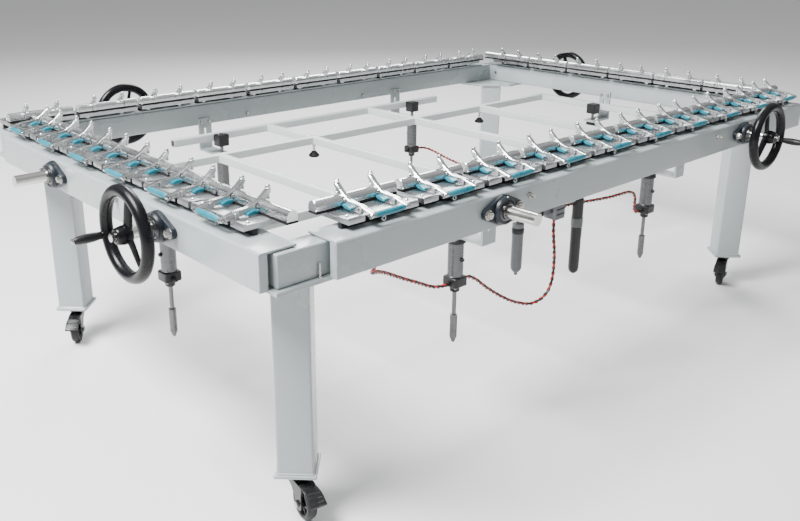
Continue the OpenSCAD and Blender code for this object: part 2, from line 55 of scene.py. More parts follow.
# X, Y and turn of each lift column
COLUMNS = [(-560, -667, 0), (560, -667, 0), (560, 667, 180), (-560, 667, 180),
           (1205, 30, 90), (-1205, -30, 270)]
CLAMP_HALF = 118  # half of the length of a clamp
CLAMP_SHIFT = (100, 5)
CLAMP_PITCH = (256, 248)
NOSE_EXTRA = (33, 63)  # how far the nose bar next to the open corner reaches past its clamp
ARM_APART = 56  # from the middle of a clamp to each of its arms
ARM_HALF = 7.2  # half of the thickness of an arm
PAD_SIDE = (-11.5, 11.5)  # from the middle of an arm to its teal pad
RIM_RADIUS = 16.8
STRAND_RADIUS = 3.5
STRAND_OFFSET = 3.0
STRAND_TWIST = 42  # length of one turn
# Stand a profile upright, with the length it is extruded to along X or along Y
ALONG = Matrix(((0, 0, 1, 0), (1, 0, 0, 0), (0, 1, 0, 0), (0, 0, 0, 1)))
ACROSS = Matrix(((1, 0, 0, 0), (0, 0, 1, 0), (0, 1, 0, 0), (0, 0, 0, 1)))
WORLD = Matrix.Scale(MM, 4)


def move(x, y, z):
    return Matrix.Translation((x, y, z))


def rotate(degrees, axis):
    return Matrix.Rotation(radians(degrees), 4, axis)


def half_of(k):
    return (FRAME_L if k % 2 == 0 else FRAME_W) / 2


def reach_of(k):
    return (FRAME_W if k % 2 == 0 else FRAME_L) / 2


def clamp_count(k):
    return 10 if k % 2 == 0 else 6


def clamp_x(k, i):
    return CLAMP_SHIFT[k % 2] + (i - (clamp_count(k) - 1) / 2) * CLAMP_PITCH[k % 2]


def corner_signs(k):
    """The signs of X and Y at a corner."""
    return (-1 if k in (0, 3) else 1), (-1 if k < 2 else 1)


def side_frame(k):
    """From a side's own millimetres (along, inwards, up) to the row frame."""
    return Matrix.Scale(MM, 4) @ rotate(90 * k, "Z") @ move(0, -reach_of(k), 0)


def facing(x, v, z):
    """A frame at a point of a side whose +Z points outwards, +X along the side and +Y up."""
    return move(x, v, z) @ rotate(90, "X")


def along_x(x, v, z):
    """A frame at a point of a side whose +Z points along the side."""
    return move(x, v, z) @ rotate(90, "Y")


# ---------------------------------------------------------------- camera
def set_camera():
    """The camera that was fitted to the photograph, in metres and radians."""
    place = (-2.385871, -2.307152, 1.503853)
    yaw, pitch, roll = 0.8266804832, 0.3094375336, 0.0047860724
    forward = Vector((cos(pitch) * cos(yaw), cos(pitch) * sin(yaw), -sin(pitch)))
    right = Vector((sin(yaw), -cos(yaw), 0))
    up = right.cross(forward)
    r = cos(roll) * right + sin(roll) * up
    u = -sin(roll) * right + cos(roll) * up
    camera = bpy.data.cameras.new("camera")
    camera.lens = 37.6855335
    camera.sensor_width = 36
    camera.shift_x = 0.02318
    camera.shift_y = -0.06611125
    camera.clip_end = 60
    holder = bpy.data.objects.new("camera", camera)
    bpy.context.scene.collection.objects.link(holder)
    turn = Matrix((r, u, -forward)).transposed().to_4x4()
    holder.matrix_world = Matrix.Translation(place) @ turn
    bpy.context.scene.camera = holder


set_camera()


# ---------------------------------------------------------------- mesh builder
class Shape:
    """Collects faces in millimetres, each with the number of its material."""

    def __init__(self):
        self.verts, self.faces, self.mats = [], [], []

    def add(self, part, place=None, mat=0):
        verts, faces = part
        base = len(self.verts)
        place = place or Matrix.Identity(4)
        self.verts += [place @ Vector(p) for p in verts]
        flip = place.to_3x3().determinant() < 0
        for f in faces:
            g = [base + i for i in f]
            self.faces.append(g[::-1] if flip else g)
            self.mats.append(mat)
        return self

    def make(self, name, to_row, mats, body, slot, sharp=34, hides=()):
        mesh = bpy.data.meshes.new(name)
        mesh.from_pydata([to_row @ p for p in self.verts], [], self.faces)
        for m in mats:
            mesh.materials.append(m)
        mesh.polygons.foreach_set("material_index", self.mats)
        mesh.polygons.foreach_set("use_smooth", [True] * len(self.faces))
        mesh.validate()
        mesh.set_sharp_from_angle(angle=radians(sharp))
        obj = bpy.data.objects.new(name, mesh)
        bpy.context.scene.collection.objects.link(obj)
        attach(obj, body)
        if hides:
            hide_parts(*hides)
        return obj


def lathe(profile, n=32):
    """Turns (radius, height) points about Z. A profile that ends on the axis closes there."""
    verts, faces, rings = [], [], []
    for r, z in profile:
        if r < 1e-6:
            rings.append([len(verts)])
            verts.append((0, 0, z))
        else:
            rings.append(list(range(len(verts), len(verts) + n)))
            verts += [(r * cos(2 * pi * j / n), r * sin(2 * pi * j / n), z) for j in range(n)]
    for a, b in zip(rings[:-1], rings[1:]):
        for j in range(n):
            k = (j + 1) % n
            if len(a) == 1 and len(b) == 1:
                continue
            if len(a) == 1:
                faces.append((a[0], b[k], b[j]))
            elif len(b) == 1:
                faces.append((a[j], a[k], b[0]))
            else:
                faces.append((a[j], a[k], b[k], b[j]))
    return verts, faces


def rod(r, z0, z1, bevel=0.8, n=24):
    """A round bar along Z with softened ends."""
    return lathe([(0, z0), (r - bevel, z0), (r, z0 + bevel), (r, z1 - bevel), (r - bevel, z1), (0, z1)], n)


def tube(r, bore, z0, z1, bevel=0.8, n=32):
    """A round pipe along Z."""
    ring = [(bore, z0 + bevel), (bore + bevel, z0), (r - bevel, z0), (r, z0 + bevel), (r, z1 - bevel),
            (r - bevel, z1), (bore + bevel, z1), (bore, z1 - bevel), (bore, z0 + bevel)]
    return lathe(ring, n)


def hexagon(across, z0, z1):
    """A hexagon head with chamfered corners."""
    return lathe([(0, z0), (across / 2, z0), (across / 2, z1 - 1), (across / 2 - 1.2, z1), (0, z1)], 6)


def inset(outline, b):
    """A closed outline, moved inwards by b."""
    n = len(outline)
    out = []
    for i, (x, y) in enumerate(outline):
        x0, y0 = outline[i - 1]
        x1, y1 = outline[(i + 1) % n]
        a = Vector((x - x0, y - y0))
        c = Vector((x1 - x, y1 - y))
        a = a.normalized() if a.length > 1e-9 else c.normalized()
        c = c.normalized() if c.length > 1e-9 else a
        normal = Vector((-a.y - c.y, a.x + c.x))
        size = normal.length
        normal = normal / size if size > 1e-6 else Vector((-a.y, a.x))
        stretch = b / max(0.5, size / 2)
        out.append((x + normal.x * stretch, y + normal.y * stretch))
    return out


def prism(outline, z0, z1, b=1.0):
    """Extrudes a counter-clockwise outline along Z, with chamfered end edges."""
    n = len(outline)
    small = inset(outline, b)
    verts, faces = [], []
    for ring, z in ((small, z0), (outline, z0 + b), (outline, z1 - b), (small, z1)):
        verts += [(x, y, z) for x, y in ring]
    for s in range(3):
        for j in range(n):
            k = (j + 1) % n
            faces.append((s * n + j, s * n + k, (s + 1) * n + k, (s + 1) * n + j))
    faces.append(tuple(range(n - 1, -1, -1)))
    faces.append(tuple(range(3 * n, 4 * n)))
    return verts, faces


def rounded(x0, y0, x1, y1, r, n=4):
    """A rectangle's outline with round corners."""
    pts = []
    corners = ((x1 - r, y0 + r, -90), (x1 - r, y1 - r, 0), (x0 + r, y1 - r, 90), (x0 + r, y0 + r, 180))
    for cx, cy, start in corners:
        for i in range(n + 1):
            a = radians(start + 90 * i / n)
            pts.append((cx + r * cos(a), cy + r * sin(a)))
    return pts


def block(x0, y0, z0, x1, y1, z1, b=1.5, r=2.0):
    """A box with round upright edges and chamfered ends."""
    return prism(rounded(x0, y0, x1, y1, r), z0, z1, b)


def ribbon(line, cap=6):
    """The outline of a bar along (x, y, half width) points, with round ends."""
    pts = [Vector(p[:2]) for p in line]
    w = [p[2] for p in line]
    n = len(pts)
    tangent = [(pts[min(i + 1, n - 1)] - pts[max(i - 1, 0)]).normalized() for i in range(n)]
    right = [(pts[i] + Vector((tangent[i].y, -tangent[i].x)) * w[i]) for i in range(n)]
    left = [(pts[i] - Vector((tangent[i].y, -tangent[i].x)) * w[i]) for i in range(n)]

    def end(i, sign):
        a0 = math.atan2(-tangent[i].x * sign, tangent[i].y * sign)
        angles = [a0 + pi * j / cap for j in range(1, cap)]
        return [pts[i] + w[i] * Vector((cos(a), sin(a))) for a in angles]

    outline = right + end(n - 1, 1) + left[::-1] + end(0, -1)
    return [(p.x, p.y) for p in outline]


def smooth(points, per=4):
    """A Catmull-Rom curve through the points."""
    vs = [Vector(p) for p in points]
    out = []
    for i in range(len(vs) - 1):
        p0, p1, p2, p3 = vs[max(i - 1, 0)], vs[i], vs[i + 1], vs[min(i + 2, len(vs) - 1)]
        for j in range(per):
            t = j / per
            out.append(0.5 * (2 * p1 + (p2 - p0) * t + (2 * p0 - 5 * p1 + 4 * p2 - p3) * t * t
                              + (3 * p1 - p0 - 3 * p2 + p3) * t ** 3))
    out.append(vs[-1])
    return out


def sweep(path, radii, n=12, squash=1.0):
    """A tube along a path, with a radius for each point."""
    pts = [Vector(p) for p in path]
    m = len(pts)
    t0 = (pts[1] - pts[0]).normalized()
    side = t0.orthogonal().normalized()
    verts, faces = [], []
    for i in range(m):
        t = (pts[min(i + 1, m - 1)] - pts[max(i - 1, 0)]).normalized()
        side = (side - t * side.dot(t)).normalized()
        other = t.cross(side)
        r = radii[i] if hasattr(radii, "__len__") else radii
        for j in range(n):
            a = 2 * pi * j / n
            verts.append(pts[i] + side * r * cos(a) + other * r * squash * sin(a))
    for i in range(m - 1):
        for j in range(n):
            k = (j + 1) % n
            faces.append((i * n + j, i * n + k, (i + 1) * n + k, (i + 1) * n + j))
    faces.append(tuple(range(n - 1, -1, -1)))
    faces.append(tuple(range((m - 1) * n, m * n)))
    return verts, faces


# ---------------------------------------------------------------- materials
def material(name, base, rough, metal=0.0, vary=0.04, scale=6.0, rough_vary=0.08, bump=0.0, grain=300.0,
             stretch=(1, 1, 1), coat=0.0, dirt=None, dirt_amount=0.25, specular=0.5):
    m = bpy.data.materials.new(name)
    m.use_nodes = True
    t = m.node_tree
    n, link = t.nodes, t.links
    shader = n["Principled BSDF"]
    shader.inputs["Metallic"].default_value = metal
    shader.inputs["Specular IOR Level"].default_value = specular
    shader.inputs["Coat Weight"].default_value = coat
    shader.inputs["Coat Roughness"].default_value = 0.12
    coords = n.new("ShaderNodeTexCoord")
    mapping = n.new("ShaderNodeMapping")
    mapping.inputs["Scale"].default_value = stretch
    link.new(coords.outputs["Object"], mapping.inputs["Vector"])
    broad = n.new("ShaderNodeTexNoise")
    broad.inputs["Scale"].default_value = scale
    broad.inputs["Detail"].default_value = 6
    broad.inputs["Roughness"].default_value = 0.6
    link.new(mapping.outputs["Vector"], broad.inputs["Vector"])
    ramp = n.new("ShaderNodeValToRGB")
    low = [max(0.0, c * (1 - vary)) for c in base]
    high = [min(1.0, c * (1 + vary)) for c in base]
    ramp.color_ramp.elements[0].position = 0.3
    ramp.color_ramp.elements[0].color = (*low, 1)
    ramp.color_ramp.elements[1].position = 0.7
    ramp.color_ramp.elements[1].color = (*high, 1)
    link.new(broad.outputs["Fac"], ramp.inputs["Fac"])
    colour = ramp.outputs["Color"]
    if dirt:
        spots = n.new("ShaderNodeTexNoise")
        spots.inputs["Scale"].default_value = scale * 5
        spots.inputs["Detail"].default_value = 9
        spots.inputs["Roughness"].default_value = 0.72
        link.new(mapping.outputs["Vector"], spots.inputs["Vector"])
        mask = n.new("ShaderNodeMapRange")
        mask.inputs["From Min"].default_value = 0.56
        mask.inputs["From Max"].default_value = 0.78
        mask.inputs["To Max"].default_value = dirt_amount
        link.new(spots.outputs["Fac"], mask.inputs["Value"])
        mix = n.new("ShaderNodeMix")
        mix.data_type = "RGBA"
        mix.inputs["B"].default_value = (*dirt, 1)
        link.new(mask.outputs["Result"], mix.inputs["Factor"])
        link.new(colour, mix.inputs["A"])
        colour = mix.outputs["Result"]
    link.new(colour, shader.inputs["Base Color"])
    rough_map = n.new("ShaderNodeMapRange")
    rough_map.inputs["From Min"].default_value = 0.3
    rough_map.inputs["From Max"].default_value = 0.7
    rough_map.inputs["To Min"].default_value = max(0.03, rough - rough_vary)
    rough_map.inputs["To Max"].default_value = min(1.0, rough + rough_vary)
    link.new(broad.outputs["Fac"], rough_map.inputs["Value"])
    link.new(rough_map.outputs["Result"], shader.inputs["Roughness"])
    if bump:
        fine = n.new("ShaderNodeTexNoise")
        fine.inputs["Scale"].default_value = grain
        fine.inputs["Detail"].default_value = 3
        link.new(mapping.outputs["Vector"], fine.inputs["Vector"])
        height = n.new("ShaderNodeBump")
        height.inputs["Strength"].default_value = bump
        height.inputs["Distance"].default_value = 0.001
        link.new(fine.outputs["Fac"], height.inputs["Height"])
        link.new(height.outputs["Normal"], shader.inputs["Normal"])
    return m


PAINT = material("frame_paint", (0.30, 0.335, 0.338), 0.3, vary=0.035, scale=2.2, bump=0.25, grain=420,
                 coat=0.2, dirt=(0.34, 0.34, 0.31), dirt_amount=0.16)
PAINT2 = material("lattice_paint", (0.42, 0.455, 0.45), 0.38, vary=0.05, scale=3.5, bump=0.3, grain=420,
                  dirt=(0.30, 0.28, 0.24), dirt_amount=0.3)
ALLOY = material("clamp_alloy", (0.50, 0.51, 0.52), 0.3, metal=1.0, vary=0.08, scale=14, bump=0.3, grain=500,
                 dirt=(0.24, 0.25, 0.25), dirt_amount=0.4)
NOSE = material("nose_alloy", (0.74, 0.755, 0.76), 0.24, metal=1.0, vary=0.05, scale=9, bump=0.2, grain=500,
                dirt=(0.42, 0.43, 0.43), dirt_amount=0.25)
ARM = material("lever_alloy", (0.66, 0.68, 0.68), 0.22, metal=1.0, vary=0.09, scale=24, bump=0.35, grain=380,
               dirt=(0.26, 0.29, 0.30), dirt_amount=0.45)
TEAL = material("teal_sleeve", (0.008, 0.145, 0.195), 0.3, vary=0.16, scale=30, bump=0.35, grain=520,
                dirt=(0.01, 0.09, 0.13), dirt_amount=0.5)
CHROME = material("bright_chrome", (0.72, 0.72, 0.71), 0.1, metal=1.0, vary=0.04, scale=20, rough_vary=0.05)
STEEL = material("turned_steel", (0.42, 0.41, 0.39), 0.27, metal=1.0, vary=0.12, scale=18, bump=0.3,
                 grain=300, stretch=(1, 1, 8))
INSERT = material("bearing_insert", (0.13, 0.13, 0.135), 0.3, metal=1.0, vary=0.2, scale=22, bump=0.3,
                  grain=300)
LIFT_ROD = material("lift_rod_steel", (0.13, 0.13, 0.13), 0.3, metal=1.0, vary=0.15, scale=18, bump=0.3,
                    grain=300)
SHAFT = material("ground_rod", (0.62, 0.61, 0.58), 0.18, metal=1.0, vary=0.08, scale=12, rough_vary=0.06)
BRASS = material("bronze_nut", (0.46, 0.31, 0.12), 0.34, metal=1.0, vary=0.1, scale=18)
IRON = material("bearing_iron", (0.009, 0.013, 0.018), 0.38, vary=0.3, scale=26, bump=0.6, grain=240,
                coat=0.04, dirt=(0.04, 0.045, 0.05), dirt_amount=0.3, specular=0.3)
ENAMEL = material("black_enamel", (0.004, 0.004, 0.005), 0.27, vary=0.3, scale=16, bump=0.2, grain=160,
                  dirt=(0.025, 0.025, 0.025), dirt_amount=0.25, specular=0.2)
PLASTIC = material("black_plastic", (0.006, 0.006, 0.007), 0.36, vary=0.3, scale=22, bump=0.4, grain=500,
                   dirt=(0.03, 0.03, 0.03), dirt_amount=0.25, specular=0.35)
RUBBER = material("black_rubber", (0.006, 0.006, 0.006), 0.6, vary=0.3, scale=20, bump=0.5, grain=420,
                  specular=0.3)
TYRE = material("castor_tyre", (0.010, 0.010, 0.011), 0.5, vary=0.3, scale=26, bump=0.5, grain=300,
                dirt=(0.07, 0.065, 0.06), dirt_amount=0.4, specular=0.35)
CASTOR = material("castor_black", (0.008, 0.008, 0.009), 0.27, vary=0.3, scale=22, bump=0.3, grain=260,
                  coat=0.12, dirt=(0.05, 0.05, 0.05), dirt_amount=0.3, specular=0.35)
BARREL = material("cylinder_alloy", (0.12, 0.123, 0.125), 0.3, metal=1.0, vary=0.1, scale=14, bump=0.3,
                  grain=320, stretch=(1, 1, 10))
GREY = material("grey_fitting", (0.07, 0.075, 0.08), 0.34, vary=0.12, scale=18, bump=0.2, grain=400)
RED_HOSE = material("hose_red", (0.30, 0.016, 0.011), 0.3, vary=0.12, scale=40, bump=0.15, grain=300)
BLACK_HOSE = material("hose_black", (0.005, 0.005, 0.005), 0.3, vary=0.3, scale=40, bump=0.15, grain=300)


# ---------------------------------------------------------------- hoses
ROUTES = {
    "left": [[-1050, -830, 736], [-1050, -830, 716], [-1046, -822, 697], [-1032, -803, 680],
             [-1004, -777, 664], [-962, -746, 645], [-910, -720, 620], [-855, -700, 590], [-800, -685, 560],
             [-750, -680, 535], [-710, -672, 514], [-675, -668, 496], [-648, -667, 486], [-622, -667, 480],
             [-604, -667, 480]],
    "front": [[-516, -667, 480], [-502, -667, 480], [-480, -667, 472], [-455, -670, 455],
              [-425, -670, 430], [-385, -670, 400], [-335, -675, 365], [-285, -680, 335], [-240, -685, 315],
              [-200, -690, 302], [-165, -700, 305], [-138, -712, 325], [-125, -720, 355], [-120, -725, 395],
              [-125, -730, 445], [-135, -735, 495], [-145, -735, 545], [-150, -735, 592], [-150, -735, 618]],
    "right": [[-124, -722, 638], [-104, -722, 638], [-60, -715, 636], [0, -710, 630],
              [70, -706, 621], [150, -705, 612], [230, -705, 605], [300, -705, 602], [360, -702, 598],
              [405, -698, 584], [432, -692, 560], [448, -684, 533], [462, -676, 508], [480, -670, 488],
              [500, -667, 480], [516, -667, 480]],
    "back": [[604, 667, 480], [620, 667, 480], [642, 660, 478], [659, 645, 473], [668, 620, 466],
             [671, 580, 456], [671, 515, 443], [670, 445, 433], [672, 375, 426], [684, 314, 421],
             [716, 268, 418], [770, 240, 416], [840, 224, 416], [915, 210, 418], [990, 196, 423],
             [1060, 179, 434], [1108, 163, 445], [1148, 147, 457], [1180, 128, 469], [1199, 108, 477],
             [1205, 90, 480], [1205, 74, 480]],
}


def build_hose(name, route):
    """Two tubes twisted round each other, one red and one black."""
    line = smooth(route, 8)
    pts, total = [line[0]], [0.0]
    for p in line[1:]:
        total.append(total[-1] + (p - pts[-1]).length)
        pts.append(p)
    length = total[-1]
    count = int(length / 5)
    fine, j = [], 0
    for i in range(count + 1):
        s = length * i / count
        while j < len(total) - 2 and total[j + 1] < s:
            j += 1
        t = (s - total[j]) / max(1e-9, total[j + 1] - total[j])
        fine.append(pts[j].lerp(pts[j + 1], min(1, t)))
    shape = Shape()
    for strand in (0, 1):
        path = []
        t0 = (fine[1] - fine[0]).normalized()
        side = t0.orthogonal().normalized()
        for i, p in enumerate(fine):
            t = (fine[min(i + 1, count)] - fine[max(i - 1, 0)]).normalized()
            side = (side - t * side.dot(t)).normalized()
            a = 2 * pi * (length * i / count) / STRAND_TWIST + pi * strand
            path.append(p + STRAND_OFFSET * (side * cos(a) + t.cross(side) * sin(a)))
        shape.add(sweep(path, STRAND_RADIUS, 8), mat=strand)
    obj = shape.make("hose_pair_" + name, WORLD, [RED_HOSE, BLACK_HOSE], "frame", "hose",
                     sharp=60, hides=["hose_" + name])


for hose_name, hose_route in ROUTES.items():
    build_hose(hose_name, hose_route)


# ---------------------------------------------------------------- CAD nodes that keep their shape
KEEP = {"frame_bolts": STEEL, "guide_rods": SHAFT, "screw_nuts": BRASS, "lift_brackets": PAINT,
        "lift_rods": LIFT_ROD}
for s in SIDES:
    KEEP["screw_shaft_" + s] = SHAFT
for node_name, mat in KEEP.items():
    data = nodes[node_name].data
    data.materials.clear()
    data.materials.append(mat)


# ---------------------------------------------------------------- frame, side beams and lattice
def build_frame():
    for s, name in ((0, "long"), (1, "short")):
        rails = Shape()
        for sign in (-1, 1):
            if s == 0:
                y0, y1 = sorted((sign * (RAIL_Y - RAIL_WIDTH), sign * RAIL_Y))
                rails.add(prism(rounded(y0, 748, y1, 833, 5), -RAIL_X, RAIL_X, 1.5), ALONG)
            else:
                x0, x1 = sorted((sign * (RAIL_X - RAIL_WIDTH), sign * RAIL_X))
                inner = RAIL_Y - RAIL_WIDTH
                rails.add(prism(rounded(x0, 748, x1, 833, 5), -inner, inner, 0.4), ACROSS)
        rails.make("rail_tubes_" + name, WORLD, [PAINT], "frame", "frame_paint", 30, ["frame_rails_" + name])
    for k, corner in enumerate(CORNERS):
        sx, sy = corner_signs(k)
        leg = Shape()
        at = move(sx * LEG_X, sy * LEG_Y, 0) @ rotate(45, "Z")
        leg.add(prism(rounded(-50, -50, 50, 50, 7, 6), 145, 736, 0.5), at)
        leg.add(prism(rounded(-53.5, -53.5, 53.5, 53.5, 9, 6), 144.4, 149.5, 2.4), at)
        leg.add(prism(rounded(-53, -53, 53, 53, 9, 6), 732.5, 736.6, 2.2), at)
        leg.add(prism(rounded(-58, -58, 58, 58, 4), 135, 145, 1.2), at)
        plate = [(27, 27), (300, 27), (300, 165), (165, 300), (27, 300)]
        outline = [(sx * (FRAME_L / 2 - a), sy * (FRAME_W / 2 - b)) for a, b in plate]
        if sx * sy < 0:
            outline = outline[::-1]
        leg.add(prism(outline, 736, 748, 1.4))
        leg.make("leg_post_" + corner, WORLD, [PAINT], "frame", "frame_paint", 30, ["leg_" + corner])


def build_lattice():
    bars = Shape()
    for s in (-1, 1):
        for y, reach in ((705, 765), (380, 1258)):
            bars.add(prism(rounded(s * y - 15, 698, s * y + 15, 728, 3), -reach, reach, 0.6), ALONG)
            for e in (-1, 1):
                x0, x1 = sorted((e * (reach - 4), e * (reach + 0.8)))
                bars.add(prism(rounded(s * y - 12, 701, s * y + 12, 725, 2), x0, x1, 0.8), ALONG, 1)
        crossbars = ((1243, -365, 365), (745, -365, 365), (295, -365, 365),
                     (295, 395, 690), (295, -690, -395))
        for x, y0, y1 in crossbars:
            bars.add(prism(rounded(s * x - 15, 698, s * x + 15, 728, 3), y0, y1, 0.3), ACROSS)
            for y in (y0, y1):
                inwards = 1 if y == y0 else -1
                ends = sorted((y - inwards * 0.6, y + inwards * 2.6))
                bead = rounded(s * x - 16.6, 697, s * x + 16.6, 728.6, 3)
                bars.add(prism(bead, ends[0], ends[1], 1.2), ACROSS)
    bars.make("lattice_tubes", WORLD, [PAINT2, PLASTIC], "lift", "lattice_paint", 30, ["lift_lattice"])


def build_beam(k):
    half, beam = half_of(k), Shape()
    x0, x1 = -half + 180, half - 54
    outline = [(1.5, 745), (23.5, 745), (25, 746.5), (25, 835), (106, 835), (107, 836), (107, 840),
               (106, 841), (8, 841)]
    outline += [(8 - 8 * sin(radians(a)), 833 + 8 * cos(radians(a))) for a in range(15, 91, 15)]
    outline.append((0, 746.5))
    beam.add(prism(outline, x0, x1, 1.0), ALONG)
    for x in (x0, x1):
        e = 0.7 if x == x1 else -0.7
        beam.add(prism(rounded(3, 749, 22, 834, 3), *sorted((x, x + e)), 0.3), ALONG)
    first, last = clamp_x(k, 0) - CLAMP_HALF, clamp_x(k, clamp_count(k) - 1) + CLAMP_HALF
    # The rail under the clamp plates is given black plastic so that the gap between the plates and the beam
    # reads dark: this black is painted shade of that gap.
    beam.add(prism(rounded(60, 840.5, 74, 857, 1.5), first, last, 1.0), ALONG, 2)
    beam.add(prism(rounded(83, 833.5, 97, 835.2, 0.5), x0, x1, 0.3), ALONG, 2)
    for x in ((-521, 603), (160,))[k % 2]:
        beam.add(hexagon(18, 0, 9.6), facing(x, 0, 810), 1)
        beam.add(tube(9.4, 4, -0.2, 1.8, 0.3, 24), facing(x, 0, 810), 1)
        beam.add(rod(4.9, 9, 22, 1.0, 16), facing(x, 0, 810), 1)
    beam.make("beam_profile_" + SIDES[k], side_frame(k), [PAINT, STEEL, PLASTIC], "carriage_" + SIDES[k],
              "frame_paint", 30, ["side_beam_" + SIDES[k]])


build_frame()
build_lattice()
for side_number in range(4):
    build_beam(side_number)


# ---------------------------------------------------------------- clamps
ARM_LINE = smooth([(14, 874, 6.5), (34, 877.5, 7.5), (54, 881.5, 8.6), (80, 884, 7.4), (102, 887, 8.8),
                   (117, 892, 11.6), (128, 900, 10.4), (136, 909, 7.6), (143, 918, 5.8), (150, 923, 5.4)], 3)


def clamp_row(k):
    name = SIDES[k]
    arms, grips, bolts, noses = Shape(), Shape(), Shape(), Shape()
    bases, strips, rollers = Shape(), Shape(), Shape()
    arm_outline = ribbon(ARM_LINE)
    nose_profile = [(116, 876.6), (144, 876.6), (146, 879), (146, 889)]
    nose_profile += [(130 + 16 * cos(radians(a)), 889 + 15.2 * sin(radians(a))) for a in range(12, 180, 12)]
    nose_profile += [(114, 889), (114, 885.5), (115.4, 885), (115.4, 882.5), (114, 882), (114, 878.5)]
    base_profile = [(34.5, 857), (146.5, 857), (146.5, 870.5), (112, 871)]
    for v in range(108, 70, -8):
        base_profile += [(v + 3, 871), (v + 1.8, 869.2), (v - 1.8, 869.2), (v - 3, 871)]
    base_profile += [(46, 871), (45, 873.5), (40, 874), (36, 872.5), (34.5, 868)]
    for i in range(clamp_count(k)):
        x = clamp_x(k, i)
        for s in (-1, 1):
            ax = x + ARM_APART * s
            arms.add(prism(arm_outline, -ARM_HALF, ARM_HALF, 1.5), move(ax, 0, 0) @ ALONG)
            for v, z, r in ((52, 881, 4.6), (114, 891, 5.2), (14, 874, 3.6)):
                bolts.add(rod(r, -9, 9, 0.8, 16), along_x(ax, v, z))
                for e in (-1, 1):
                    washer = tube(r + 1.6, r - 0.2, e * 7.6 - 0.5, e * 7.6 + 0.5, 0.2, 16)
                    bolts.add(washer, along_x(ax, v, z), 1)
            up = move(ax, 150, 9)
            bolts.add(rod(4, 893, 918, 0.8, 16), up)
            bolts.add(tube(6.4, 3, 906.5, 908.5, 0.3, 16), up)
            bolts.add(tube(7.2, 3, 918.2, 920, 0.3, 20), up)
            bolts.add(hexagon(13.6, 919.4, 924), up)
            bolts.add(lathe([(5.4, 923.6), (5.4, 924)] + [(5.4 * cos(radians(a)), 924 + 5 * sin(radians(a)))
                                                          for a in range(15, 90, 15)] + [(0, 929)], 16), up)
            bolts.add(lathe([(3.9, 896), (4.8, 895), (4.9, 893), (4.0, 891), (0, 890.5)][::-1], 16), up)
            link = move(ax + PAD_SIDE[k % 2], 0, 0) @ ALONG
            pad = smooth([(82, 877, 4.2), (91, 878.8, 5.6), (101, 880, 5.6), (108, 880.6, 4.2)], 3)
            grips.add(prism(ribbon(pad), -5.5, 5.5, 1.6), link)
            for e in (-1, 1):
                bases.add(block(ax + e * 10 - 2.5, 46, 871, ax + e * 10 + 2.5, 58, 887, 1, 2))
        body = [(0, -50), (5.6, -50), (6.6, -48), (6.6, -43), (7.2, -41), (8.3, -26), (8.6, -4), (8.3, 22),
                (7.2, 40), (6.4, 43), (6.4, 48), (5.6, 50), (0, 50)]
        grips.add(lathe(body, 20), along_x(x, 14, 874))
        cuts = [-CLAMP_HALF, -65.2, -64, 64, 65.2, CLAMP_HALF]
        cuts[0] -= NOSE_EXTRA[0] if k % 2 == 0 and i == 0 else 0
        cuts[-1] += NOSE_EXTRA[1] if k % 2 == 1 and i == clamp_count(k) - 1 else 0
        for a, b in zip(cuts[0::2], cuts[1::2]):
            noses.add(prism(nose_profile, a, b, 0.8), move(x, 0, 0) @ ALONG)
        # A black core inside the nose bars, seen only through the narrow cuts between their segments: its
        # black is painted shade that makes the cuts read as dark lines.
        noses.add(prism([(120, 879), (140, 879), (140, 896), (120, 896)], cuts[0] + 1, cuts[-1] - 1, 0.3),
                  move(x, 0, 0) @ ALONG, 1)
        for a, b in ((-CLAMP_HALF, -63.5), (-48.5, 48.5), (63.5, CLAMP_HALF)):
            bases.add(prism(base_profile, a, b, 0.6), move(x, 0, 0) @ ALONG)
        bases.add(prism([(66, 857.4), (146, 857.4), (146, 869), (66, 869)], -100, 100, 0.4),
                  move(x, 0, 0) @ ALONG)
        for e in (-1, 1):
            bolts_at = move(x + e * 100, 60, 0)
            head = [(0, 870.5), (4.6, 870.5), (4.6, 873.4), (3.6, 874.5), (0, 874.5)]
            rollers.add(lathe(head, 16), bolts_at)
            inner = move(x + 70 * e, 0, 849.4) @ rotate(-90, "X")
            rollers.add(tube(7.6, 3.2, 78, 105, 1, 24), inner)
            rollers.add(rod(3.2, 74, 108, 0.6, 12), inner)
        rollers.add(tube(7.6, 3.2, 36, 57, 1, 24), move(x, 0, 849.4) @ rotate(-90, "X"))
        strips.add(prism([(114.5, 871), (146.5, 871), (147, 873.4), (146.5, 876), (114.5, 876), (114, 873.4)],
                         cuts[0] + 0.4, cuts[-1] - 0.4, 0.6), move(x, 0, 0) @ ALONG)
    place = side_frame(k)
    gang, carriage = "clamp_gang_" + name, "carriage_" + name
    arms.make("clamp_arms_" + name, place, [ARM], gang, "lever_alloy", 30, ["clamp_levers_" + name])
    grips.make("clamp_grips_" + name, place, [TEAL], gang, "lever_alloy", 40)
    bolts.make("clamp_bolts_" + name, place, [CHROME, PLASTIC], gang, "bright_steel", 34)
    noses.make("clamp_noses_" + name, place, [NOSE, PLASTIC], gang, "clamp_alloy", 30, ["clamp_jaws_" + name])
    bases.make("clamp_plates_" + name, place, [ALLOY], carriage, "clamp_alloy", 30, ["clamp_bases_" + name])
    strips.make("clamp_rubbers_" + name, place, [RUBBER], carriage, "rubber", 30)
    rollers.make("clamp_rollers_" + name, place, [CHROME], carriage, "bright_steel", 34)


for side_number in range(4):
    clamp_row(side_number)


